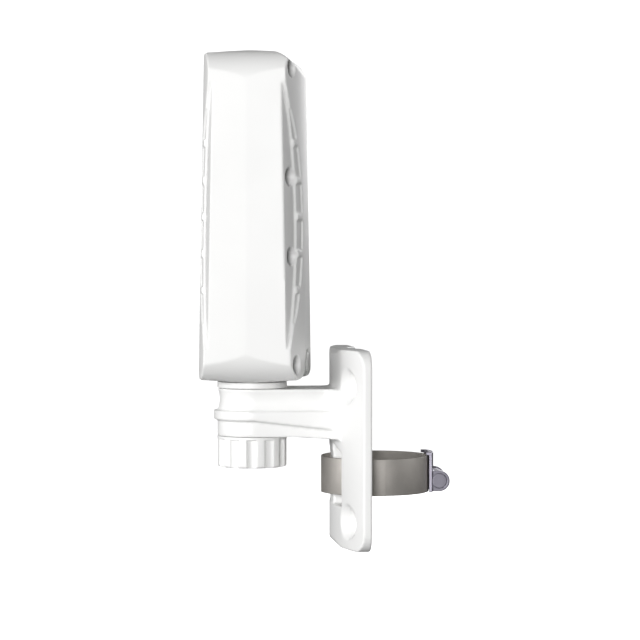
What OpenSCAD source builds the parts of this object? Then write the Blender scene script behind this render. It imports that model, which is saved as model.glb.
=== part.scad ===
// Compact directional antenna on a swivel arm, held to a mast by a worm-drive band.
// Millimetres. Z is up and is also the mast axis; the origin is at the band's mid-height.
// The arm reaches along -Y, and X runs across the bracket.

/* [Mast and band] */
// Diameter of the mast that the bracket sits on
mast_d = 35; // [30:0.5:42]
// Height of the clamp band
band_h = 15.9; // [12:0.1:18]
// Thickness of one layer of the band
band_t = 0.6; // [0.4:0.1:0.9]
// Angle round from +X at which the band's outer layer ends
band_tail_angle = 3; // [0:1:40]
// Length of the worm housing, across the bracket
worm_l = 16; // [12:0.5:20]
// Outer diameter of the worm housing's barrel
barrel_d = 9; // [8:0.1:10]
// Wall of the worm housing
housing_wall = 1.3; // [0.8:0.1:1.6]
// Drop of the worm's axis below the band's mid-height
worm_drop = 3.25; // [2:0.05:4]
// Diameter of the worm screw's flange
screw_flange_d = 10.4; // [9:0.1:10.5]
// Width across the flats of the worm screw's head
screw_af = 8; // [6:0.5:9]

/* [Bracket plate] */
// Width of the plate
plate_w = 84; // [78:1:100]
// Height of the plate
plate_h = 86.2; // [84:0.2:110]
// How far the plate reaches below the band's mid-height
plate_below = 30.7; // [28:0.1:38]
// Thickness of the plate at its middle
plate_t = 12.4; // [11:0.1:16]
// Radius of the crowned front, seen from above
plate_crown_r = 105; // [95:1:160]
// Corner radius of the plate
plate_corner_r = 8; // [4:0.5:12]
// Front wall over the hollow back
plate_skin = 3; // [2:0.1:4]
// Depth of the half-round mast groove in the back
groove_depth = 4.7; // [3:0.1:6]
// Width of the spine between the two windows
spine_w = 10; // [8:0.5:12]
// Width of each band window
window_w = 15; // [14.5:0.5:18]
// Height of the saddle that the band bears on
saddle_h = 4.1; // [2:0.1:6]

/* [Wall screws] */
// Distance between wall screws, across
screw_pitch_x = 58; // [56:0.5:62]
// Distance between wall screws, up
screw_pitch_z = 58.6; // [56:0.2:64]
// Height of the lower wall screws above the plate's bottom edge
screw_margin = 12; // [10.5:0.5:13]
// Diameter of the wall screw holes
screw_hole_d = 4.5; // [3.5:0.1:5.5]
// Diameter of the counterbores
counterbore_d = 12.8; // [11:0.1:14]
// Floor left under each counterbore
counterbore_floor = 3.6; // [3:0.1:5]

/* [Arm] */
// Reach from the plate's front to the swivel axis
arm_reach = 35; // [34.5:0.1:50]
// Width of the arm, also the diameter of its nose
arm_w = 30.4; // [28:0.2:36]
// Height of the arm's top face above the band's mid-height
arm_top = 38.1; // [36:0.1:42]
// Height of the arm at its nose
arm_h = 20.7; // [18:0.1:21]
// Extra depth of the arm where it meets the plate
arm_drop = 1.3; // [0:0.1:2]
// How far the rib stands out of the arm's sides
rib_out = 1.6; // [0.8:0.1:2.5]
// Height of the rib at the nose
rib_h = 4.1; // [3:0.1:6]
// Extra depth of the rib where it meets the plate
rib_drop = 4.2; // [0:0.1:5]

/* [Swivel and knob] */
// Angle of the antenna about the swivel axis at rest
rest_pan = -12.5; // [-45:0.5:45]
// Diameter of the neck's collar
neck_d = 30.6; // [28:0.2:36]
// Diameter of the neck's stem
stem_d = 12; // [11:0.5:14]
// Diameter of the threaded stud
stud_d = 8; // [6:0.5:9]
// Diameter of the locking knob
knob_d = 30.6; // [26:0.2:36]
// Height of the locking knob
knob_h = 13.5; // [12:0.5:18]
// Number of finger flutes round the knob
flutes = 12; // [8:1:16]
// Diameter of the cut that makes a flute
flute_d = 5.4; // [4:0.2:6]

/* [Antenna housing] */
// Width of the housing at its parting ridge
head_w = 60; // [58:1:80]
// Height of the housing
head_h = 143.5; // [135:0.5:180]
// Gap from the arm's top to the housing
head_gap = 3; // [2.8:0.1:6]
// Distance of the parting ridge behind the swivel axis
ridge_back = 1.1; // [0:0.1:2]
// Depth of the front cover at mid-height
front_depth = 22.7; // [21:0.1:28]
// Depth of the rear cover at mid-height
rear_depth = 23.4; // [22:0.1:24]
// Rise of each crowned face over its rim
face_rise = 4.8; // [3:0.1:6]
// Lean of each face, thinner at the top
face_lean = 1; // [0:0.1:2]
// Draft of the sides away from the parting ridge
draft = 4; // [2:0.5:5]
// Corner radius of the housing, seen from the front
head_corner_r = 14; // [10:0.5:18]
// Radius that rolls the rear face into the top
rear_top_r = 17; // [8:0.5:18]
// Radius that rolls the rear face into the bottom
rear_bottom_r = 6; // [4:0.5:10]
// Radius that rolls the front face into both ends
front_end_r = 4.5; // [3:0.5:10]
// Wall at the sides and ends
wall = 2.6; // [2:0.1:3]
// Wall behind the crowned faces
face_wall = 3.8; // [3:0.1:4.5]

/* [Face relief] */
// Depth of the crescent pockets beside each face
pocket_depth = 1.8; // [1:0.1:2]
// Width of a crescent pocket at mid-height
pocket_w = 11.5; // [9:0.5:13]
// Distance from a crescent pocket's tips to the housing's ends
pocket_end = 14.5; // [12:0.5:20]
// Depth of the row of notches beside each pocket
notch_depth = 0.8; // [0.4:0.1:1.2]
// Width of the notches at mid-height
notch_w = 7.1; // [5:0.1:9]
// Pitch of the notches
notch_pitch = 15.8; // [14:0.1:17]
// Rib left between two notches
notch_gap = 2.6; // [1.5:0.1:4]
// Depth of the cable recess at the bottom of the rear face
recess_depth = 1.4; // [0.8:0.1:1.8]
// Width of the cable recess
recess_w = 20; // [16:0.5:24]
// Height of the cable recess
recess_h = 14; // [12.5:0.5:18]

/* [Inner parts] */
// Distance from the boards' sides to the housing's ridge
board_side = 5; // [4:0.5:7]
// Distance from the boards' ends to the housing's ends
board_end = 12.5; // [11:0.5:16]
// Thickness of the circuit boards
board_t = 1.6; // [1:0.1:2]
// Side of a square patch radiator
patch_side = 28; // [24:1:32]

/* [Hidden] */
$fn = 96;

far = 400;
over = 1;
run_gap = 0.07;
fit_gap = 0.15;
loose_gap = 0.3;

// Band: it touches the back of the mast and the front of the saddle.
mast_r = mast_d / 2;
plate_back = mast_r - groove_depth;
plate_front = plate_back + plate_t;
spine_recess = 0.4;
saddle_front = plate_front - spine_recess + saddle_h;
band_r = (mast_r + saddle_front) / 2;
band_y = mast_r - band_r;
layer_gap = 0.05;
tail_r = band_r + band_t + layer_gap;
band_outer_r = tail_r + band_t;

// Worm housing: a saddle that hooks over the band's edges and carries the barrel.
hook_gap = 0.3;
saddle_plate_r = band_outer_r + 0.1;
saddle_plate_outer_r = saddle_plate_r + housing_wall;
saddle_sweep = 44;
worm_z = -worm_drop;
worm_d = barrel_d - 2 * housing_wall;
worm_y = band_y + band_outer_r + fit_gap + worm_d / 2;
flange_t = 1.4;
screw_head_h = 4.4;
head_slot_w = 1.2;
head_slot_depth = 1.6;

// Plate and windows.
plate_z0 = -plate_below;
plate_top = plate_z0 + plate_h;
front_chamfer = [2, 2.7];
crown_y = plate_crown_r - plate_front;
band_clear = 1.3;
window_bottom = -(band_h / 2 + 4.85);
window_top = band_h / 2 + 2.35;
window_slope = 3.9;
window_wall = 2.4;
saddle_z = 10;
boss_wall = 2;
plate_rim = 3;
cheek_w = 3;
screw_z = [plate_z0 + screw_margin, plate_z0 + screw_margin + screw_pitch_z];
counterbore_chamfer = 1.15;

// Arm.
pan_y = -(plate_front + arm_reach);
arm_r = arm_w / 2;
arm_bottom = arm_top - arm_h;
arm_level = max(knob_d, arm_w) / 2 + loose_gap;
waist_depth = 1;
rib_top = arm_bottom + 11.1;
waist_r = ((arm_top - rib_top) / 2 * (arm_top - rib_top) / 2 + waist_depth * waist_depth) / (2 * waist_depth);
fillet_r = 5;
arm_core_wall = 3.4;
core_start = 20.5;
washer_t = 1;
washer_seat = 0.7;
friction_od = 26;
lock_od = 20;

// Neck, stud and knob.
collar_gap = 0.2;
neck_z0 = arm_top + collar_gap;
throat_d = 18;
neck_flange_d = 25;
neck_flange_t = 2.5;
stem_end = arm_bottom + washer_t + 0.6;
knob_top = arm_bottom - 0.2;
knob_z0 = knob_top - knob_h;
knob_edge_r = 1.1;
flute_rim = 1.2;
flute_sink = 1.25;
knob_phase = -6;
insert_af = 13;
insert_h = 7;
insert_top = knob_top - 2;
stud_z0 = knob_z0 + 1;
stud_top = arm_top - 8;
access_d = stud_d + 3;

// Housing.
head_z0 = arm_top + head_gap;
head_top = head_z0 + head_h;
head_mid = head_z0 + head_h / 2;
face_half = head_w / 2 - 2.6;
face_r = (face_half * face_half + face_rise * face_rise) / (2 * face_rise);
screw_x = head_w / 2 - 7.4;
screw_row_outer = head_h / 2 - 8.2;
screw_row_inner = head_h * 0.119;
screw_rows = [-screw_row_outer, -screw_row_inner, screw_row_inner, screw_row_outer];
cover_screw_d = 3;
cover_head_d = 6.4;
cover_head_h = 2.6;
recess_d = 8;
rear_boss_d = 11;
front_boss_d = 7.6;
head_seat = 7;
screw_reach = 9;
gasket_w = 0.9;
gasket_half = 0.8;
gasket_inset = 0.9;

// Crescent pocket and notch arcs, each through its middle and its two ends.
side_x = head_w / 2 - 1.2;
pocket_x = head_w / 2 - pocket_w;
pocket_r = arc_radius(head_h / 2 - pocket_end, side_x - pocket_x);
notch_x = pocket_x - notch_w;
notch_half = notch_pitch * 3 + notch_gap / 2;
notch_end_x = pocket_x + pocket_r - sqrt(pocket_r * pocket_r - notch_half * notch_half);
notch_r = arc_radius(notch_half, notch_end_x - notch_x);
notch_rows = [-2.5, -1.5, -0.5, 0.5, 1.5, 2.5];

// Stack of boards, as distances from the parting ridge, front negative.
antenna_y = -9.6;
reflector_y = -6;
reflector_t = 1;
main_y = 2;
patch_lift = 3;
patch_t = 0.6;
patch_stub_d = 3;
patch_pitch = 52;
board_screw_d = 2.5;
board_w = head_w - 2 * board_side;
board_h = head_h - 2 * board_end;
board_screw_x = 12;
board_screw_z = board_h / 2 - 8;
board_boss_d = 7;
board_screw_head_d = 4.6;
board_screw_head_h = 1.8;
can_t = 2.8;
can_wall = 0.4;
can_size = [30, 26];
can_pitch = 34;
jack_size = [16, 13.5, 18];
jack_wall = 1.2;
jack_lift = 17;
gland_d = 6.5;
gland_flange_d = 8.6;
gland_flange_t = 1;
gland_bore_d = 4;
gland_z = head_z0 + 8.6;
gland_seat_y = rear_depth - recess_depth + (head_mid - gland_z) * tan(face_lean) - 0.3;
gland_inner_y = gland_seat_y - face_wall + recess_depth - 1;
relief_y0 = 6;
relief_y1 = max(front_depth, rear_depth) + 10;

// Radius of the arc that rises by sag over half a chord.
function arc_radius(half, sag) = (half * half + sag * sag) / (2 * sag);

// Lays an XZ outline down so that it runs from y0 to y1.
module along_y(y0, y1) {
    translate([0, y1, 0]) rotate([90, 0, 0]) linear_extrude(height = y1 - y0) children();
}

// Lays a YZ outline down so that it runs from x = -half to x = half.
module along_x(half) {
    rotate([90, 0, 90]) linear_extrude(height = 2 * half, center = true) children();
}

module rounded_rect(x0, x1, z0, z1, r) {
    translate([x0 + r, z0]) square([x1 - x0 - 2 * r, z1 - z0]);
    translate([x0, z0 + r]) square([x1 - x0, z1 - z0 - 2 * r]);
    for (x = [x0 + r, x1 - r], z = [z0 + r, z1 - r]) translate([x, z]) circle(r = r);
}

// Everything that belongs to the antenna head stands on the swivel axis, turned by the rest angle.
module on_head() {
    translate([0, pan_y, 0]) rotate([0, 0, rest_pan]) translate([0, ridge_back, 0]) children();
}

// ---- Bracket ----

module plate_blank() {
    intersection() {
        along_y(-far, far)
            rounded_rect(-plate_w / 2, plate_w / 2, plate_z0, plate_top, plate_corner_r);
        translate([0, crown_y, -far]) cylinder(r = plate_crown_r, h = 2 * far);
        along_x(far) polygon([
            [-plate_back, plate_z0], [-plate_back, plate_top],
            [-plate_front + front_chamfer[0], plate_top], [-plate_front, plate_top - front_chamfer[1]],
            [-plate_front, plate_z0 + front_chamfer[1]], [-plate_front + front_chamfer[0], plate_z0]
        ]);
    }
}

module screw_places() {
    for (x = [-1, 1] * screw_pitch_x / 2, z = screw_z) translate([x, z]) children();
}

// One window, with the outer top corner lower than the inner one.
module window_outline(grow = 0) {
    x0 = spine_w / 2 - grow;
    x1 = spine_w / 2 + window_w + grow;
    for (side = [-1, 1]) polygon([
        [side * x0, window_bottom - grow], [side * x1, window_bottom - grow],
        [side * x1, window_top + grow], [side * x0, window_top + window_slope + grow]
    ]);
}

module band_channel() {
    translate([0, band_y, 0]) rotate_extrude()
        translate([band_r - band_clear, -band_h / 2 - band_clear])
            square([band_t + 2 * band_clear, band_h + 2 * band_clear]);
}

// Hollow cells of the plate's back, between its rim, bosses, ribs and windows.
module back_cells() {
    intersection() {
        along_y(-far, -plate_back + over) difference() {
            rounded_rect(-plate_w / 2 + plate_rim, plate_w / 2 - plate_rim, plate_z0 + plate_rim,
                plate_top - plate_rim, plate_corner_r - plate_rim);
            square([2 * mast_r - cheek_w, far], center = true);
            screw_places() circle(d = counterbore_d + 2 * boss_wall);
            window_outline(window_wall);
            translate([-far, rib_top - plate_skin / 2]) square([2 * far, plate_skin]);
        }
        translate([0, crown_y, -far]) cylinder(r = plate_crown_r - plate_skin, h = 2 * far);
    }
}

module saddle() {
    intersection() {
        translate([-spine_w / 2, -saddle_front - over, -saddle_z / 2])
            cube([spine_w, saddle_h + 2 * over, saddle_z]);
        translate([0, band_y, -saddle_z]) cylinder(r = band_r, h = 2 * saddle_z);
    }
}

// Half of the arm's cross-section above its bottom, with the waist above the rib.
module arm_half_section() {
    difference() {
        translate([0, arm_bottom - arm_drop]) square([arm_r, arm_h + arm_drop]);
        translate([arm_r - waist_depth + waist_r, (arm_top + rib_top) / 2]) circle(r = waist_r);
    }
}

module rib_half_section() {
    translate([0, rib_top - rib_h - rib_drop]) square([arm_r + rib_out, rib_h + rib_drop]);
}

// Turns a half section round the nose and runs it straight to the plate.
module arm_sweep() {
    translate([0, pan_y, 0]) {
        rotate_extrude() children();
        rotate([90, 0, 180]) linear_extrude(height = arm_reach + plate_t / 2) {
            children();
            mirror([1, 0]) children();
        }
    }
}

// YZ outline whose lower edge falls by drop from some distance past the swivel axis to the plate.
module falling_side(z_top, z_nose, drop, level) {
    fall_start = pan_y + level;
    polygon([
        [pan_y - far, z_top], [pan_y - far, z_nose], [fall_start, z_nose],
        [-plate_front, z_nose - drop], [0, z_nose - drop], [0, z_top]
    ]);
}

module arm_fillets() {
    for (side = [0, 1]) mirror([side, 0, 0])
        translate([0, 0, arm_bottom - arm_drop]) linear_extrude(height = arm_h + arm_drop)
            difference() {
                translate([arm_r - over, -plate_front - fillet_r + 0.6])
                    square([fillet_r + over, fillet_r + over]);
                translate([arm_r + fillet_r, -plate_front - fillet_r + 0.6]) circle(r = fillet_r);
            }
}

module arm() {
    intersection() {
        arm_sweep() arm_half_section();
        along_x(far) falling_side(arm_top, arm_bottom, arm_drop, arm_level);
    }
    intersection() {
        arm_sweep() rib_half_section();
        along_x(far) falling_side(rib_top, rib_top - rib_h, rib_drop, 0);
    }
    intersection() {
        arm_fillets();
        along_x(far) falling_side(arm_top, arm_bottom, arm_drop, arm_level);
    }
}

module arm_cuts() {
    translate([0, pan_y, 0]) {
        translate([0, 0, -far]) cylinder(d = stem_d + 2 * run_gap, h = 2 * far);
        translate([0, 0, arm_top - washer_seat]) cylinder(d = friction_od + 2 * loose_gap, h = far);
        translate([0, 0, arm_bottom - over])
            cylinder(d = lock_od + 2 * loose_gap, h = washer_t + over + 0.1);
    }
    translate([-arm_r + arm_core_wall, pan_y + core_start, arm_bottom - arm_drop - over])
        cube([arm_w - 2 * arm_core_wall, arm_reach - core_start - arm_core_wall + 1.4,
            arm_h + arm_drop + over - arm_core_wall]);
}

module bracket() {
    color([0.95, 0.95, 0.94]) difference() {
        union() {
            plate_blank();
            saddle();
            arm();
        }
        back_cells();
        difference() {
            union() {
                along_y(-plate_front - over, -plate_back + over) window_outline();
                band_channel();
                translate([-spine_w / 2 - over, -plate_front - over, window_bottom])
                    cube([spine_w + 2 * over, over + spine_recess, window_top - window_bottom]);
            }
            saddle();
        }
        translate([0, 0, -far]) cylinder(r = mast_r, h = 2 * far);
        along_y(-far, 0) screw_places() circle(d = screw_hole_d);
        along_y(-plate_front - over, -plate_back - counterbore_floor)
            screw_places() circle(d = counterbore_d);
        screw_chamfers();
        arm_cuts();
    }
}

// Cone that opens the mouth of each counterbore on the crowned front.
module screw_chamfers() {
    mouth_y = sqrt(pow(plate_crown_r, 2) - pow(screw_pitch_x / 2, 2)) - crown_y;
    for (x = [-1, 1] * screw_pitch_x / 2, z = screw_z)
        translate([x, -mouth_y - 3, z]) rotate([-90, 0, 0])
            cylinder(r1 = counterbore_d / 2 + counterbore_chamfer + 3,
                r2 = counterbore_d / 2 - over, h = 4 + counterbore_chamfer);
}

module friction_washer() {
    color([0.2, 0.2, 0.21]) translate([0, pan_y, arm_top - washer_seat])
        washer(friction_od, stem_d + 2 * loose_gap, washer_seat + collar_gap - 0.05);
}

module washer(outer, inner, h) {
    difference() {
        cylinder(d = outer, h = h);
        translate([0, 0, -over]) cylinder(d = inner, h = h + 2 * over);
    }
}

// ---- Mast band ----

module clamp_band() {
    tail_start = band_tail_angle;
    color([0.55, 0.54, 0.53]) translate([0, band_y, -band_h / 2]) {
        washer(2 * (band_r + band_t), 2 * band_r, band_h);
        rotate([0, 0, tail_start]) rotate_extrude(angle = 90 - tail_start)
            translate([band_r + band_t, 0]) square([layer_gap + band_t, band_h]);
    }
}

// Upright plate behind the band, with a lip that hooks over the band's top edge.
module housing_saddle_section() {
    lip_z = band_h / 2 + hook_gap;
    translate([saddle_plate_r, -band_h / 2])
        square([housing_wall, band_h / 2 + lip_z + housing_wall]);
    translate([band_r, lip_z]) square([saddle_plate_outer_r - band_r, housing_wall]);
}

module barrel_section() {
    translate([worm_y, worm_z]) circle(d = barrel_d);
    translate([worm_y - barrel_d / 2, worm_z - barrel_d / 2]) square([barrel_d / 2, barrel_d]);
}

module clamp_housing() {
    color([0.5, 0.49, 0.52]) difference() {
        union() {
            difference() {
                along_x(worm_l / 2) barrel_section();
                translate([0, band_y, -far]) cylinder(r = saddle_plate_r, h = 2 * far);
            }
            translate([0, band_y, 0]) rotate([0, 0, 90 - saddle_sweep / 2])
                rotate_extrude(angle = saddle_sweep) housing_saddle_section();
        }
        along_x(far) translate([worm_y, worm_z]) circle(d = worm_d + 2 * run_gap);
        translate([-worm_l / 2 - far, -far / 2, -far / 2]) cube(far);
    }
}

module clamp_screw() {
    flange_x = worm_l / 2 + fit_gap;
    head_end = flange_x + flange_t + screw_head_h;
    color([0.42, 0.41, 0.44]) translate([0, worm_y, worm_z]) difference() {
        rotate([0, -90, 0]) {
            translate([0, 0, -worm_l / 2 + loose_gap])
                cylinder(d = worm_d, h = worm_l / 2 - loose_gap + flange_x + flange_t / 2);
            translate([0, 0, flange_x]) cylinder(d = screw_flange_d, h = flange_t);
            translate([0, 0, flange_x]) cylinder(d = screw_af / cos(30), h = head_end - flange_x, $fn = 6);
        }
        translate([-head_end - over, -far / 2, -head_slot_w / 2])
            cube([head_slot_depth + over, far, head_slot_w]);
    }
}

// ---- Swivel ----

module swivel_neck() {
    flange_z = head_z0 + wall + 1.2;
    color([0.93, 0.93, 0.92]) translate([0, pan_y, 0]) difference() {
        union() {
            translate([0, 0, stem_end]) cylinder(d = stem_d, h = neck_z0 - stem_end + over);
            translate([0, 0, neck_z0]) cylinder(d = neck_d, h = head_z0 - neck_z0 - fit_gap);
            translate([0, 0, neck_z0]) cylinder(d = throat_d, h = flange_z - neck_z0 + over);
            translate([0, 0, flange_z]) cylinder(d = neck_flange_d, h = neck_flange_t);
        }
        translate([0, 0, -far]) cylinder(d = stud_d, h = far + stud_top);
    }
}

module neck_stud() {
    color([0.7, 0.7, 0.7]) translate([0, pan_y, stud_z0]) cylinder(d = stud_d, h = stud_top - stud_z0);
}

module lock_washer() {
    color([0.72, 0.72, 0.72]) translate([0, pan_y, knob_top + 0.05])
        washer(lock_od, stud_d + 2 * loose_gap, washer_t);
}

module lock_knob() {
    step = 360 / flutes;
    color([0.94, 0.94, 0.93]) translate([0, pan_y, knob_z0]) difference() {
        rotate_extrude() difference() {
            union() {
                square([knob_d / 2 - knob_edge_r, knob_h]);
                translate([0, knob_edge_r]) square([knob_d / 2, knob_h - knob_edge_r]);
                translate([knob_d / 2 - knob_edge_r, knob_edge_r]) circle(r = knob_edge_r);
            }
        }
        for (i = [0:flutes - 1]) rotate([0, 0, i * step + knob_phase])
            translate([knob_d / 2 + flute_sink, 0, -over])
                cylinder(d = flute_d, h = knob_h - flute_rim + over);
        translate([0, 0, -over]) cylinder(d = access_d, h = knob_h);
        translate([0, 0, -over]) cylinder(d = stud_d + 2 * fit_gap, h = knob_h + 2 * over);
        translate([0, 0, insert_top - insert_h - knob_z0 - over])
            cylinder(d = insert_af / cos(30), h = insert_h + over, $fn = 6);
    }
}

module knob_insert() {
    color([0.78, 0.62, 0.3]) translate([0, pan_y, insert_top - insert_h]) difference() {
        cylinder(d = insert_af / cos(30), h = insert_h, $fn = 6);
        translate([0, 0, -over]) cylinder(d = stud_d + 2 * run_gap, h = insert_h + 2 * over);
    }
}

// ---- Antenna housing ----

// Space under one crowned face, sunk by some depth. The face looks along +Y from the ridge.
module under_face(depth, sink, bottom_r, top_r) {
    z0 = head_z0 + sink;
    z1 = head_top - sink;
    y1 = depth - sink;
    rb = bottom_r - sink / 2;
    rt = top_r - sink / 2;
    intersection() {
        translate([0, y1 - face_r, head_mid]) rotate([face_lean, 0, 0])
            cylinder(r = face_r, h = far, center = true);
        along_x(head_w) {
            polygon([[-far, z0], [y1 - rb, z0], [y1, z0 + rb], [y1, z1 - rt], [y1 - rt, z1], [-far, z1]]);
            translate([y1 - rb, z0 + rb]) circle(r = rb);
            translate([y1 - rt, z1 - rt]) circle(r = rt);
        }
    }
}

// Outline, drafted sides and crowned face of one cover that faces +Y.
// inset moves the sides in and sink moves the face in; an inset form runs past the ridge.
module half_form(depth, bottom_r, top_r, inset, sink) {
    half = head_w / 2 - inset;
    z0 = head_z0 + inset;
    z1 = head_top - inset;
    reach = depth + over;
    slope = reach * tan(draft);
    y0 = inset > 0 ? -over : 0;
    intersection() {
        along_y(y0, reach) rounded_rect(-half, half, z0, z1, head_corner_r - inset);
        linear_extrude(height = far) polygon([
            [-half, y0], [-half, 0], [-half + slope, reach], [half - slope, reach], [half, 0], [half, y0]
        ]);
        along_x(head_w) polygon([
            [y0, z0], [0, z0], [reach, z0 + slope], [reach, z1 - slope], [0, z1], [y0, z1]
        ]);
        under_face(depth, sink, bottom_r, top_r);
    }
}

module pocket_outline() {
    for (side = [-1, 1]) translate([side * (pocket_x + pocket_r), head_mid]) circle(r = pocket_r);
}

// The row of notches lies between the pocket's arc and a second arc, cut into spans.
module notch_outline() {
    intersection() {
        for (side = [-1, 1]) translate([side * (notch_x + notch_r), head_mid]) circle(r = notch_r);
        for (row = notch_rows)
            translate([-head_w / 2, head_mid + (row - 0.5) * notch_pitch + notch_gap / 2])
                square([head_w, notch_pitch - notch_gap]);
    }
}

// What an outline takes out of a crowned face that looks along +Y, down to a floor of the same crown.
module sunk(depth, bottom_r, top_r, sink) {
    difference() {
        along_y(relief_y0, relief_y1) children();
        under_face(depth, sink, bottom_r, top_r);
    }
}

module recess_outline() {
    translate([-recess_w / 2, head_z0 - over]) square([recess_w, recess_h - recess_w / 2 + over]);
    translate([0, head_z0 + recess_h - recess_w / 2]) circle(d = recess_w);
}

module screw_spots() {
    for (x = [-screw_x, screw_x], row = screw_rows) translate([x, head_mid + row]) children();
}

module board_spots() {
    for (x = [-board_screw_x, board_screw_x], z = [-board_screw_z, board_screw_z])
        translate([x, head_mid + z]) children();
}

module gasket_ring(half_depth, spread) {
    a = gasket_inset - spread;
    b = gasket_inset + gasket_w + spread;
    along_y(-half_depth, half_depth) difference() {
        rounded_rect(-head_w / 2 + a, head_w / 2 - a, head_z0 + a, head_top - a, head_corner_r - a);
        rounded_rect(-head_w / 2 + b, head_w / 2 - b, head_z0 + b, head_top - b, head_corner_r - b);
    }
}

// The neck's throat passes where the two covers meet.
module throat_hole() {
    translate([0, -ridge_back, head_z0 - over]) cylinder(d = throat_d + 2 * fit_gap, h = wall + 2.2);
}

// Hollow shell of one cover, still facing +Y.
module cover_shell(depth, bottom_r, top_r) {
    difference() {
        difference() {
            half_form(depth, bottom_r, top_r, 0, 0);
            sunk(depth, bottom_r, top_r, pocket_depth) pocket_outline();
        }
        sunk(depth, bottom_r, top_r, notch_depth) notch_outline();
        half_form(depth, bottom_r, top_r, wall, face_wall);
    }
}

// Space that a cover's bosses may fill, ending inside its skin.
module boss_limit(depth, bottom_r, top_r) {
    half_form(depth, bottom_r, top_r, wall / 2, (face_wall + pocket_depth) / 2);
}

module front_cover() {
    color([0.96, 0.96, 0.96]) on_head() difference() {
        union() {
            mirror([0, 1, 0]) cover_shell(front_depth, front_end_r, front_end_r);
            intersection() {
                union() {
                    along_y(-front_depth, 0) screw_spots() circle(d = front_boss_d);
                    along_y(-front_depth, antenna_y - board_t) board_spots() circle(d = board_boss_d);
                }
                mirror([0, 1, 0]) boss_limit(front_depth, front_end_r, front_end_r);
            }
        }
        along_y(-screw_reach - 1, over) screw_spots() circle(d = cover_screw_d + 0.1);
        along_y(antenna_y - board_t - 6, 0) board_spots() circle(d = board_screw_d + 0.1);
        gasket_ring(gasket_half, 0.05);
        throat_hole();
    }
}

module rear_cover() {
    color([0.95, 0.95, 0.95]) on_head() difference() {
        union() {
            cover_shell(rear_depth, rear_bottom_r, rear_top_r);
            intersection() {
                along_y(0, rear_depth) screw_spots() circle(d = rear_boss_d);
                boss_limit(rear_depth, rear_bottom_r, rear_top_r);
            }
        }
        along_y(-over, far / 4) screw_spots() circle(d = cover_screw_d + 2 * fit_gap);
        along_y(head_seat, far / 4) screw_spots() circle(d = recess_d);
        gasket_ring(gasket_half, 0.05);
        throat_hole();
        sunk(rear_depth, rear_bottom_r, rear_top_r, recess_depth) recess_outline();
        along_y(0, rear_depth) translate([0, gland_z]) circle(d = gland_d);
        along_y(gland_seat_y, relief_y1) translate([0, gland_z]) circle(d = gland_flange_d + 2 * fit_gap);
    }
}

module housing_gasket() {
    color([0.15, 0.15, 0.16]) on_head() difference() {
        gasket_ring(gasket_half - 0.05, 0);
        throat_hole();
    }
}

module cover_screws() {
    color([0.6, 0.6, 0.62]) on_head() screw_spots_3d() {
        translate([0, 0, -head_seat - cover_head_h]) difference() {
            cylinder(d = cover_head_d, h = cover_head_h);
            translate([0, 0, -over]) cylinder(d = 3.2, h = 1.4 + over, $fn = 6);
        }
        translate([0, 0, -head_seat - 0.5]) cylinder(d = cover_screw_d, h = head_seat + screw_reach + 0.5);
    }
}

// Places a child at each cover screw with its own Z running towards the front.
module screw_spots_3d() {
    for (x = [-screw_x, screw_x], row = screw_rows)
        translate([x, 0, head_mid + row]) rotate([90, 0, 0]) children();
}

// ---- Inner parts ----

module board_outline(w, h) {
    difference() {
        translate([-w / 2, head_mid - h / 2]) square([w, h]);
        screw_spots() circle(d = rear_boss_d + 2);
        board_spots() circle(d = board_screw_d + 0.4);
    }
}

module antenna_board() {
    color([0.1, 0.35, 0.2]) on_head() along_y(antenna_y - board_t, antenna_y) board_outline(board_w, board_h);
}

module patch_radiators() {
    front = antenna_y - board_t;
    color([0.8, 0.6, 0.3]) on_head() for (side = [-1, 1]) {
        z = head_mid + side * patch_pitch / 2;
        translate([-patch_side / 2, front - patch_lift - patch_t, z - patch_side / 2])
            cube([patch_side, patch_t, patch_side]);
        translate([0, front, z]) rotate([90, 0, 0]) cylinder(d = patch_stub_d, h = patch_lift + 0.1);
    }
}

module reflector() {
    color([0.75, 0.76, 0.78]) on_head()
        along_y(reflector_y, reflector_y + reflector_t) board_outline(board_w, board_h);
}

module board_spacers() {
    spans = [[antenna_y, reflector_y], [reflector_y + reflector_t, main_y]];
    color([0.85, 0.85, 0.8]) on_head() for (span = spans)
        along_y(span[0], span[1]) board_spots() difference() {
            circle(d = board_boss_d - 1);
            circle(d = board_screw_d + 0.4);
        }
}

module main_board() {
    color([0.1, 0.3, 0.45]) on_head()
        along_y(main_y, main_y + board_t) board_outline(board_w - 2, board_h - 2);
}

module shield_cans() {
    back = main_y + board_t;
    color([0.72, 0.73, 0.75]) on_head() for (side = [0, 1]) {
        z = head_mid + side * can_pitch - can_size[1] / 2;
        difference() {
            translate([-can_size[0] / 2, back, z]) cube([can_size[0], can_t, can_size[1]]);
            translate([-can_size[0] / 2 + can_wall, back - over, z + can_wall])
                cube([can_size[0] - 2 * can_wall, can_t - can_wall + over, can_size[1] - 2 * can_wall]);
        }
    }
}

module board_screws() {
    back = main_y + board_t;
    color([0.65, 0.65, 0.67]) on_head()
        for (x = [-board_screw_x, board_screw_x], z = [-board_screw_z, board_screw_z])
            translate([x, back, head_mid + z]) rotate([90, 0, 0]) {
                translate([0, 0, -board_screw_head_h])
                    cylinder(d = board_screw_head_d, h = board_screw_head_h);
                translate([0, 0, -0.5])
                    cylinder(d = board_screw_d, h = back - antenna_y + board_t + 5);
            }
}

module cable_jack() {
    back = main_y + board_t;
    z = head_z0 + jack_lift;
    color([0.7, 0.7, 0.72]) on_head() difference() {
        translate([-jack_size[0] / 2, back, z]) cube(jack_size);
        translate([-jack_size[0] / 2 + jack_wall, back + jack_wall, z - over])
            cube([jack_size[0] - 2 * jack_wall, jack_size[1] - 2 * jack_wall, jack_size[2] - 3]);
    }
}

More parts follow.
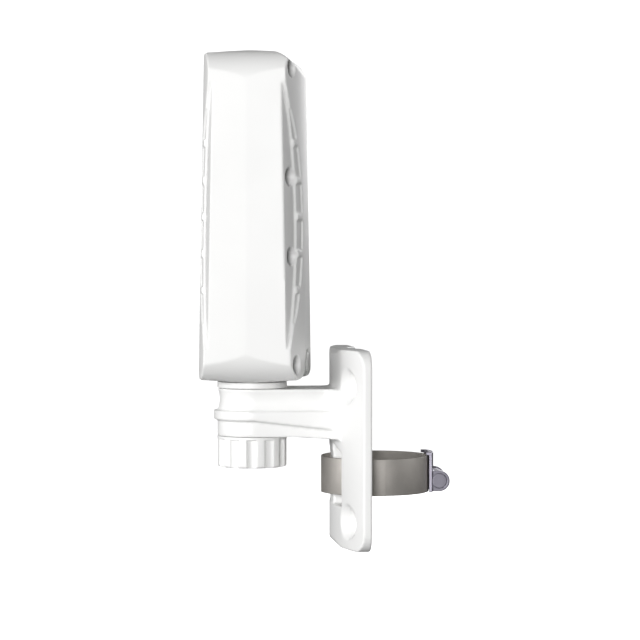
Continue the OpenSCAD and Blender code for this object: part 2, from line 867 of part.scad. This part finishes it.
// Closed rubber gland in the cable recess.
module inlet_gland() {
    color([0.12, 0.12, 0.13]) on_head() translate([0, 0, gland_z]) rotate([-90, 0, 0]) difference() {
        union() {
            translate([0, 0, gland_inner_y])
                cylinder(d = gland_d - 0.1, h = gland_seat_y - gland_inner_y + gland_flange_t / 2);
            translate([0, 0, gland_seat_y]) cylinder(d = gland_flange_d, h = gland_flange_t);
        }
        translate([0, 0, gland_inner_y - over])
            cylinder(d = gland_bore_d, h = gland_seat_y - gland_inner_y + over);
    }
}

bracket();
friction_washer();
clamp_band();
clamp_housing();
front_cover();
rear_cover();
housing_gasket();
cover_screws();
antenna_board();
patch_radiators();
reflector();
board_spacers();
main_board();
shield_cans();
board_screws();
cable_jack();
inlet_gland();
swivel_neck();
neck_stud();
lock_washer();
lock_knob();
knob_insert();
clamp_screw();
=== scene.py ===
import bpy
import math
from mathutils import Matrix, Vector


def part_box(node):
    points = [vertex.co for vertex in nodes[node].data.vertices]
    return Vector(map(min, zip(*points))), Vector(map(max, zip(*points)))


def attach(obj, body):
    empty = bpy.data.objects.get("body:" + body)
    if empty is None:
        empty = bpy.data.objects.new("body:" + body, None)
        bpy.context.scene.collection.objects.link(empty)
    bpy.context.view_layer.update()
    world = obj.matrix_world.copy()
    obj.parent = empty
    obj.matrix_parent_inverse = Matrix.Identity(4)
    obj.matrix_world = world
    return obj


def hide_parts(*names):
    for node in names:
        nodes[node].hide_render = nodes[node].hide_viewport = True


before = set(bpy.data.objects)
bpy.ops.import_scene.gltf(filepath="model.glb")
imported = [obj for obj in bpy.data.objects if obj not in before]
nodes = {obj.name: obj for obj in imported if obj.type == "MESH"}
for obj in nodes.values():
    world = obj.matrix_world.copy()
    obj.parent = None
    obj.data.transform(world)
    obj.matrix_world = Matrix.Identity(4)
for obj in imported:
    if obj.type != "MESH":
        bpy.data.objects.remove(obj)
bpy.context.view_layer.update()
mm = 0.001
print("frame loaded")

# Where the antenna head stands: its swivel axis, the turn at rest, and the parting ridge behind the axis.
head = {"axisY": -60.2 * mm, "turn": -12.5, "ridgeBack": 1.1 * mm}
headTurn = Matrix.Rotation(math.radians(head["turn"]), 4, "Z")
headPlace = (Matrix.Translation((0, head["axisY"], 0)) @ headTurn
             @ Matrix.Translation((0, head["ridgeBack"], 0)))


# Turns an sRGB hex colour to linear.
def linear(code):
    parts = [int(code[i:i + 2], 16) / 255 for i in (0, 2, 4)]
    return tuple(c / 12.92 if c <= 0.04045 else ((c + 0.055) / 1.055) ** 2.4 for c in parts) + (1.0,)


# Adds a node. A key that names an input sets or links it, any other key is a setting of the node.
def addNode(tree, kind, values=None, links=None):
    node = tree.nodes.new(kind)
    for key, value in (values or {}).items():
        if isinstance(key, str) and key not in node.inputs:
            setattr(node, key, value)
    for key, value in (values or {}).items():
        if not isinstance(key, str) or key in node.inputs:
            node.inputs[key].default_value = value
    for key, socket in (links or {}).items():
        tree.links.new(socket, node.inputs[key])
    return node


# A material with its shader's own sockets set, together with its tree and shader for the pattern.
def newMaterial(name, colour, **sockets):
    material = bpy.data.materials.new(name)
    material.use_nodes = True
    tree = material.node_tree
    shader = tree.nodes["Principled BSDF"]
    shader.inputs["Base Color"].default_value = linear(colour)
    for key, value in sockets.items():
        shader.inputs[key.replace("_", " ")].default_value = value
    material.diffuse_color = linear(colour)
    return material, tree, shader


flowSize = 38 * mm  # the clouds that a flow of resin leaves in the colour
tarnishSize = 7 * mm  # the faint clouds on bare metal


# Moulded surface: a fine spark-eroded grain, soft flow marks in the colour, and a slightly uneven gloss.
def mouldGrain(made, grain, height, dark, light, glossLow, glossHigh):
    material, tree, shader = made
    place = addNode(tree, "ShaderNodeTexCoord")
    fine = addNode(tree, "ShaderNodeTexNoise", {"Scale": 1 / grain, "Detail": 3.0, "Roughness": 0.55},
                   {"Vector": place.outputs["Object"]})
    flow = addNode(tree, "ShaderNodeTexNoise", {"Scale": 1 / flowSize, "Detail": 2.0},
                   {"Vector": place.outputs["Object"]})
    tint = addNode(tree, "ShaderNodeValToRGB", None, {"Fac": flow.outputs["Fac"]})
    tint.color_ramp.elements[0].position, tint.color_ramp.elements[0].color = 0.3, linear(dark)
    tint.color_ramp.elements[1].position, tint.color_ramp.elements[1].color = 0.7, linear(light)
    gloss = addNode(tree, "ShaderNodeMapRange", {"To Min": glossLow, "To Max": glossHigh},
                    {"Value": fine.outputs["Fac"]})
    bump = addNode(tree, "ShaderNodeBump", {"Strength": 0.5, "Distance": height},
                   {"Height": fine.outputs["Fac"]})
    tree.links.new(tint.outputs["Color"], shader.inputs["Base Color"])
    tree.links.new(gloss.outputs["Result"], shader.inputs["Roughness"])
    tree.links.new(bump.outputs["Normal"], shader.inputs["Normal"])
    return material


# Rolled or drawn metal: fine lines along one way, and faint cloudy tarnish.
def metalGrain(made, stretch, line, height, dark, light, glossLow, glossHigh):
    material, tree, shader = made
    place = addNode(tree, "ShaderNodeTexCoord")
    along = addNode(tree, "ShaderNodeMapping", {"Scale": stretch}, {"Vector": place.outputs["Object"]})
    lines = addNode(tree, "ShaderNodeTexNoise", {"Scale": 1 / line, "Detail": 4.0, "Roughness": 0.6},
                    {"Vector": along.outputs["Vector"]})
    cloud = addNode(tree, "ShaderNodeTexNoise", {"Scale": 1 / tarnishSize, "Detail": 3.0},
                    {"Vector": place.outputs["Object"]})
    both = addNode(tree, "ShaderNodeMath", {"operation": "ADD"},
                   {0: lines.outputs["Fac"], 1: cloud.outputs["Fac"]})
    tint = addNode(tree, "ShaderNodeMapRange", {"From Min": 0.7, "From Max": 1.3},
                   {"Value": both.outputs["Value"]})
    colour = addNode(tree, "ShaderNodeValToRGB", None, {"Fac": tint.outputs["Result"]})
    colour.color_ramp.elements[0].color = linear(dark)
    colour.color_ramp.elements[1].color = linear(light)
    gloss = addNode(tree, "ShaderNodeMapRange", {"To Min": glossLow, "To Max": glossHigh},
                    {"Value": lines.outputs["Fac"]})
    bump = addNode(tree, "ShaderNodeBump", {"Strength": 0.4, "Distance": height},
                   {"Height": lines.outputs["Fac"]})
    tree.links.new(colour.outputs["Color"], shader.inputs["Base Color"])
    tree.links.new(gloss.outputs["Result"], shader.inputs["Roughness"])
    tree.links.new(bump.outputs["Normal"], shader.inputs["Normal"])
    return material


# Board with a solder mask: a grid of fine tracks shows darker through the lacquer.
def trackGrain(made, pitch, dark, light):
    material, tree, shader = made
    place = addNode(tree, "ShaderNodeTexCoord")
    tracks = addNode(tree, "ShaderNodeTexBrick",
                     {"Scale": 1 / pitch, "Color1": linear(light), "Color2": linear(light),
                      "Mortar": linear(dark), "Mortar Size": 0.03, "Brick Width": 0.9, "Row Height": 0.5},
                     {"Vector": place.outputs["Object"]})
    bump = addNode(tree, "ShaderNodeBump", {"Strength": 0.3, "Distance": 0.05 * mm},
                   {"Height": tracks.outputs["Fac"]})
    tree.links.new(tracks.outputs["Color"], shader.inputs["Base Color"])
    tree.links.new(bump.outputs["Normal"], shader.inputs["Normal"])
    return material


# The real spark texture is about 0.05 mm and metal lines are finer still: all are drawn coarser, to show.
sparkGrain = 0.35 * mm

# Moulded ASA housing: bright white, matte, with a fine even texture and soft highlights.
mouldedAsa = mouldGrain(newMaterial("mouldedAsa", "e8e8e7", IOR=1.5), sparkGrain, 0.012 * mm,
                        "e6e6e5", "eaeae9", 0.42, 0.52)
# Glass-filled nylon bracket: the same white but a little glossier, with faint flow marks.
mouldedNylon = mouldGrain(newMaterial("mouldedNylon", "f1f1f0", IOR=1.53), sparkGrain, 0.012 * mm,
                          "efefee", "f3f3f2", 0.36, 0.46)
# EPDM rubber of the gasket, and the fibre friction washer: near black and dull.
mouldedRubber = mouldGrain(newMaterial("mouldedRubber", "232427", IOR=1.52), 0.5 * mm, 0.03 * mm,
                           "1d1e20", "2b2c2f", 0.68, 0.8)
# Natural nylon spacers: milky and waxy.
milkyNylon = mouldGrain(newMaterial("milkyNylon", "dcdad0", IOR=1.53), 0.6 * mm, 0.01 * mm,
                        "d6d4c9", "e2e0d7", 0.4, 0.5)
# Rolled stainless band: warm grey, satin, with fine lines that run round it.
rolledStainless = metalGrain(newMaterial("rolledStainless", "8d8a86", Metallic=1.0), (1, 1, 14), 1.4 * mm,
                             0.01 * mm, "b6b2ad", "c2beb9", 0.55, 0.68)
# Stamped worm housing: the same steel, cooler and duller where it was drawn.
stampedSteel = metalGrain(newMaterial("stampedSteel", "85828c", Metallic=1.0), (1, 4, 4), 0.9 * mm,
                          0.01 * mm, "93909b", "a8a5b1", 0.4, 0.52)
# Zinc-plated screws: cool grey with a slight bluish cloud.
zincPlate = metalGrain(newMaterial("zincPlate", "8f9194", Metallic=1.0), (1, 1, 1), 0.6 * mm,
                       0.008 * mm, "7d8084", "a4a6aa", 0.3, 0.42)
# Turned brass of the insert and the radiators: warm yellow with turning lines.
turnedBrass = metalGrain(newMaterial("turnedBrass", "c6a052", Metallic=1.0), (1, 1, 10), 0.8 * mm,
                         0.01 * mm, "b8924a", "d4b066", 0.28, 0.4)
# Rolled aluminium reflector: pale satin sheet.
rolledAluminium = metalGrain(newMaterial("rolledAluminium", "c4c6c9", Metallic=1.0), (1, 1, 12), 1.2 * mm,
                             0.01 * mm, "bcbec1", "d0d2d5", 0.34, 0.46)
# Circuit boards with green and blue solder mask.
greenMask = trackGrain(newMaterial("greenMask", "1f5a3a", Roughness=0.35), 6 * mm, "17452c", "256b45")
blueMask = trackGrain(newMaterial("blueMask", "1d4a6b", Roughness=0.35), 5 * mm, "163a55", "245a82")
print("materials made")


# Drops every selection and makes one object the active one.
def pick(*objects):
    bpy.ops.object.select_all(action="DESELECT")
    for o in objects:
        o.select_set(True)
    bpy.context.view_layer.objects.active = objects[0]


# Adds a modifier with its settings and applies it.
def useModifier(piece, kind, **settings):
    pick(piece)
    bpy.ops.object.modifier_add(type=kind)
    modifier = piece.modifiers[-1]
    for key, value in settings.items():
        setattr(modifier, key, value)
    bpy.ops.object.modifier_apply(modifier=modifier.name)


# Names a finished piece, gives it its finish, and sets it on its body in place of its nodes.
def finishPiece(piece, name, material, body, slot, *replaced):
    piece.name = piece.data.name = name
    piece.data.materials.clear()
    piece.data.materials.append(material)
    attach(piece, body)
    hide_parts(*replaced)
    print("made", name, len(piece.data.polygons), "faces")


weld = 0.002 * mm  # corners nearer than this are one


# One merged skin of some nodes, with every edge broken by a small radius as moulding leaves it.
def softSkin(names, voxel, rounds, extra=()):
    parts = list(extra)
    for name in names:
        part = bpy.data.objects.new(name + "Copy", nodes[name].data.copy())
        bpy.context.scene.collection.objects.link(part)
        parts.insert(0, part)
    pick(*parts)
    if len(parts) > 1:
        bpy.ops.object.join()
    piece = bpy.context.view_layer.objects.active
    bpy.ops.object.mode_set(mode="EDIT")
    bpy.ops.mesh.select_all(action="SELECT")
    bpy.ops.mesh.remove_doubles(threshold=weld)
    bpy.ops.object.mode_set(mode="OBJECT")
    useModifier(piece, "REMESH", mode="VOXEL", voxel_size=voxel, use_smooth_shade=True)
    useModifier(piece, "SMOOTH", factor=0.5, iterations=rounds)
    return piece


covers = {
    "voxel": 0.5 * mm, "rounds": 2,
    "cavityWidth": 51.2 * mm, "cavityLow": 45.6 * mm, "cavityHigh": 178.6 * mm, "cavityCorner": 4 * mm,
    "frontCavity": 14.9 * mm, "rearCavity": 15.1 * mm,
    "jackWidth": 22 * mm, "jackLow": 57 * mm, "jackHigh": 80 * mm, "jackCavity": 18 * mm,
    "plugRadius": 9.6 * mm, "plugDepth": 4.5 * mm, "plugSink": 0.1 * mm, "crispAngle": 40,
}


# A block with rounded edges that hollows a cover from its flat side. It runs a little past the ridge.
def hollowCover(piece, side, width, bottom, top, depth):
    past = 2 * covers["cavityCorner"]
    bpy.ops.object.select_all(action="DESELECT")
    bpy.ops.mesh.primitive_cube_add(size=1)
    block = bpy.context.active_object
    bpy.ops.object.mode_set(mode="EDIT")
    bpy.ops.transform.resize(value=(width, depth + past, top - bottom))
    bpy.ops.mesh.bevel(offset=covers["cavityCorner"], segments=4, affect="EDGES")
    bpy.ops.object.mode_set(mode="OBJECT")
    middle = Matrix.Translation((0, side * (depth - past) / 2, (bottom + top) / 2))
    block.data.transform(headPlace @ middle)
    useModifier(piece, "BOOLEAN", operation="DIFFERENCE", object=block, solver="MANIFOLD")
    bpy.data.objects.remove(block)


# Half of the housing on one side of the ridge.
def splitCover(whole, side):
    piece = whole.copy()
    piece.data = whole.data.copy()
    bpy.context.scene.collection.objects.link(piece)
    pick(piece)
    bpy.ops.object.mode_set(mode="EDIT")
    bpy.ops.mesh.select_mode(type="FACE")
    bpy.ops.mesh.select_all(action="SELECT")
    bpy.ops.mesh.bisect(plane_co=headPlace @ Vector((0, 0, 0)), plane_no=headTurn @ Vector((0, 1, 0)),
                        use_fill=True, clear_inner=side > 0, clear_outer=side < 0)
    bpy.ops.object.mode_set(mode="OBJECT")
    return piece


# The neck's opening is closed for the remesh, so that only the outside is kept.
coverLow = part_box("front_cover")[0]
plugMiddle = coverLow[2] + covers["plugDepth"] / 2 + covers["plugSink"]
bpy.ops.object.select_all(action="DESELECT")
bpy.ops.mesh.primitive_cylinder_add(vertices=64, radius=covers["plugRadius"], depth=covers["plugDepth"],
                                    location=(0, head["axisY"], plugMiddle))
plug = bpy.context.active_object
bpy.ops.object.transform_apply(location=True)
# The closed gland is part of the same skin.
whole = softSkin(["front_cover", "rear_cover", "inlet_gland"], covers["voxel"], covers["rounds"], [plug])
front = splitCover(whole, -1)
rear = splitCover(whole, 1)
bpy.data.objects.remove(whole)
cavity = [covers["cavityWidth"], covers["cavityLow"], covers["cavityHigh"]]
hollowCover(front, -1, *cavity, covers["frontCavity"])
hollowCover(rear, 1, *cavity, covers["rearCavity"])
hollowCover(rear, 1, covers["jackWidth"], covers["jackLow"], covers["jackHigh"], covers["jackCavity"])
for cover in (front, rear):
    pick(cover)
    bpy.ops.object.shade_smooth_by_angle(angle=math.radians(covers["crispAngle"]))
finishPiece(front, "frontCover", mouldedAsa, "antenna", "white_shell", "front_cover")
finishPiece(rear, "rearCover", mouldedAsa, "antenna", "white_shell", "rear_cover", "inlet_gland")

# Plate, arm and rib in one moulding, with its edges kept crisp.
bracketLook = {"voxel": 0.58 * mm, "rounds": 0}
bracket = softSkin(["bracket"], bracketLook["voxel"], bracketLook["rounds"])
finishPiece(bracket, "wallBracket", mouldedNylon, "mount", "white_bracket", "bracket")

# Fluted knob under the arm.
knobLook = {"voxel": 0.24 * mm, "rounds": 1}
knob = softSkin(["lock_knob"], knobLook["voxel"], knobLook["rounds"])
finishPiece(knob, "lockingKnob", mouldedNylon, "knob", "white_bracket", "lock_knob")

# Neck and collar under the housing.
neckLook = {"voxel": 0.3 * mm, "rounds": 1}
neck = softSkin(["swivel_neck"], neckLook["voxel"], neckLook["rounds"])
finishPiece(neck, "swivelNeck", mouldedNylon, "antenna", "white_shell", "swivel_neck")

# Stamped housing that carries the worm.
housingLook = {"voxel": 0.15 * mm, "rounds": 2}
housing = softSkin(["clamp_housing"], housingLook["voxel"], housingLook["rounds"])
finishPiece(housing, "wormHousing", stampedSteel, "mount", "band_steel", "clamp_housing")

# Worm with its flanged head.
screwLook = {"voxel": 0.13 * mm, "rounds": 2}
screw = softSkin(["clamp_screw"], screwLook["voxel"], screwLook["rounds"])
finishPiece(screw, "wormScrew", stampedSteel, "worm", "screw_steel", "clamp_screw")

# The band runs once round the saddle, and its tail lies on the outside of the first turn.
band = {
    "centreY": -5.7 * mm, "innerRadius": 23.2 * mm, "thickness": 0.6 * mm, "height": 15.9 * mm,
    "layerGap": 0.05 * mm, "tailStart": 3, "tailEnd": 90, "edgeRadius": 0.24 * mm,
    "ringSteps": 180, "tailSteps": 60, "seamWeld": 0.005 * mm, "crispAngle": 35,
}


# A strip of the band, spun round the band's centre from one angle to another.
def spinStrip(radius, start, sweep, steps):
    bpy.ops.object.select_all(action="DESELECT")
    bpy.ops.mesh.primitive_plane_add(size=1, location=(0, 0, 0))
    strip = bpy.context.active_object
    a = math.radians(start)
    middle = radius + band["thickness"] / 2
    strip.data.transform(
        Matrix.Translation((middle * math.cos(a), band["centreY"] + middle * math.sin(a), 0))
        @ Matrix.Rotation(a, 4, "Z") @ Matrix.Rotation(math.radians(90), 4, "X")
        @ Matrix.Diagonal((band["thickness"], band["height"], 1, 1)))
    bpy.ops.object.mode_set(mode="EDIT")
    bpy.ops.mesh.select_all(action="SELECT")
    bpy.ops.mesh.bevel(offset=band["edgeRadius"], segments=3, affect="VERTICES")
    bpy.ops.mesh.select_all(action="SELECT")
    bpy.ops.mesh.spin(steps=steps, angle=math.radians(sweep), center=(0, band["centreY"], 0), axis=(0, 0, 1))
    if sweep >= 360:
        bpy.ops.mesh.select_all(action="SELECT")
        bpy.ops.mesh.remove_doubles(threshold=band["seamWeld"])
        bpy.ops.mesh.select_all(action="DESELECT")
        bpy.ops.mesh.select_mode(type="FACE")
        bpy.ops.mesh.select_interior_faces()
        bpy.ops.mesh.delete(type="FACE")
    bpy.ops.mesh.select_all(action="SELECT")
    bpy.ops.mesh.normals_make_consistent(inside=False)
    bpy.ops.object.mode_set(mode="OBJECT")
    return strip


ring = spinStrip(band["innerRadius"], 0, 360, band["ringSteps"])
tailRadius = band["innerRadius"] + band["thickness"] + band["layerGap"]
tail = spinStrip(tailRadius, band["tailStart"], band["tailEnd"] - band["tailStart"], band["tailSteps"])
pick(ring, tail)
bpy.ops.object.join()
bpy.ops.object.shade_smooth_by_angle(angle=math.radians(band["crispAngle"]))
finishPiece(ring, "clampBand", rolledStainless, "mount", "band_steel", "clamp_band")

# The CAD nodes that stay take their own finishes.
finishes = {
    "friction_washer": mouldedRubber, "housing_gasket": mouldedRubber,
    "cover_screws": zincPlate, "board_screws": zincPlate, "neck_stud": zincPlate, "lock_washer": zincPlate,
    "knob_insert": turnedBrass, "patch_radiators": turnedBrass, "reflector": rolledAluminium,
    "shield_cans": rolledAluminium, "cable_jack": rolledAluminium, "board_spacers": milkyNylon,
    "antenna_board": greenMask, "main_board": blueMask,
}
for name, finish in finishes.items():
    nodes[name].data.materials.clear()
    nodes[name].data.materials.append(finish)
print("finishes set")

# Studio: a pale seamless floor, white surroundings and five soft lights.
studio = {
    "floorZ": -0.16, "floorSize": 30, "floorColour": "fafafa",
    "camera": {"azimuth": 81.43, "distance": 1.018, "height": 0.0953, "yaw": 1.685, "pitch": 1.555,
               "lens": 129.375, "sensor": 36, "near": 0.01, "far": 60},
    "lights": {
        "keyLight": {"place": (0.72, -1.39, 0.3), "size": 0.7, "power": 11.5},
        "frontLight": {"place": (0.0, -1.5, 0.15), "size": 0.7, "power": 3},
        "sideLight": {"place": (1.56, -0.48, 0.2), "size": 0.5, "power": 16.5},
        "rearLight": {"place": (0.25, 0.9, 0.3), "size": 0.3, "power": 1.8},
        "backLight": {"place": (-1.4, 0.7, 0.5), "size": 0.8, "power": 8},
    },
    "aim": (0, -0.03, 0.08), "ambient": 0.12, "skySeen": 1.2,
}
bpy.ops.object.select_all(action="DESELECT")
bpy.ops.mesh.primitive_plane_add(size=studio["floorSize"], location=(0, 0, studio["floorZ"]))
floor = bpy.context.active_object
floor.name = "studioFloor"
floorPaint, _, floorShader = newMaterial("floorPaint", studio["floorColour"], Roughness=0.9)
floorShader.inputs["Emission Color"].default_value = linear("ffffff")
floorShader.inputs["Emission Strength"].default_value = 1.0
floor.data.materials.append(floorPaint)
floor.visible_diffuse = floor.visible_glossy = False  # the light from below comes from the world alone

for name, light in studio["lights"].items():
    bpy.ops.object.light_add(type="AREA", location=light["place"])
    lamp = bpy.context.active_object
    lamp.name = name
    lamp.data.shape, lamp.data.size, lamp.data.energy = "DISK", light["size"], light["power"]
    away = Vector(light["place"]) - Vector(studio["aim"])
    lamp.rotation_euler = away.to_track_quat("Z", "Y").to_euler()

# The camera sees a white sky, which lights the object only faintly.
world = bpy.data.worlds.new("studioWorld")
bpy.context.scene.world = world
world.use_nodes = True
sky = world.node_tree
background = sky.nodes["Background"]
background.inputs["Color"].default_value = linear("ffffff")
path = addNode(sky, "ShaderNodeLightPath")
strength = addNode(sky, "ShaderNodeMapRange", {"To Min": studio["ambient"], "To Max": studio["skySeen"]},
                   {"Value": path.outputs["Is Camera Ray"]})
sky.links.new(strength.outputs["Result"], background.inputs["Strength"])

shot = studio["camera"]
azimuth = math.radians(shot["azimuth"])
back = Vector((math.sin(azimuth), -math.cos(azimuth), 0))
bpy.ops.object.camera_add(location=back * shot["distance"] + Vector((0, 0, shot["height"])))
camera = bpy.context.active_object
camera.name = "studioCamera"
camera.data.sensor_width, camera.data.lens = shot["sensor"], shot["lens"]
camera.data.clip_start, camera.data.clip_end = shot["near"], shot["far"]
pitch = math.radians(shot["pitch"])
ahead = Matrix.Rotation(math.radians(shot["yaw"]), 3, "Z") @ (-back)
ahead = Vector((ahead.x * math.cos(pitch), ahead.y * math.cos(pitch), -math.sin(pitch)))
camera.rotation_mode = "QUATERNION"
camera.rotation_quaternion = ahead.to_track_quat("-Z", "Y")
bpy.context.scene.camera = camera
bpy.context.scene.view_settings.view_transform = "Standard"
print("studio set")
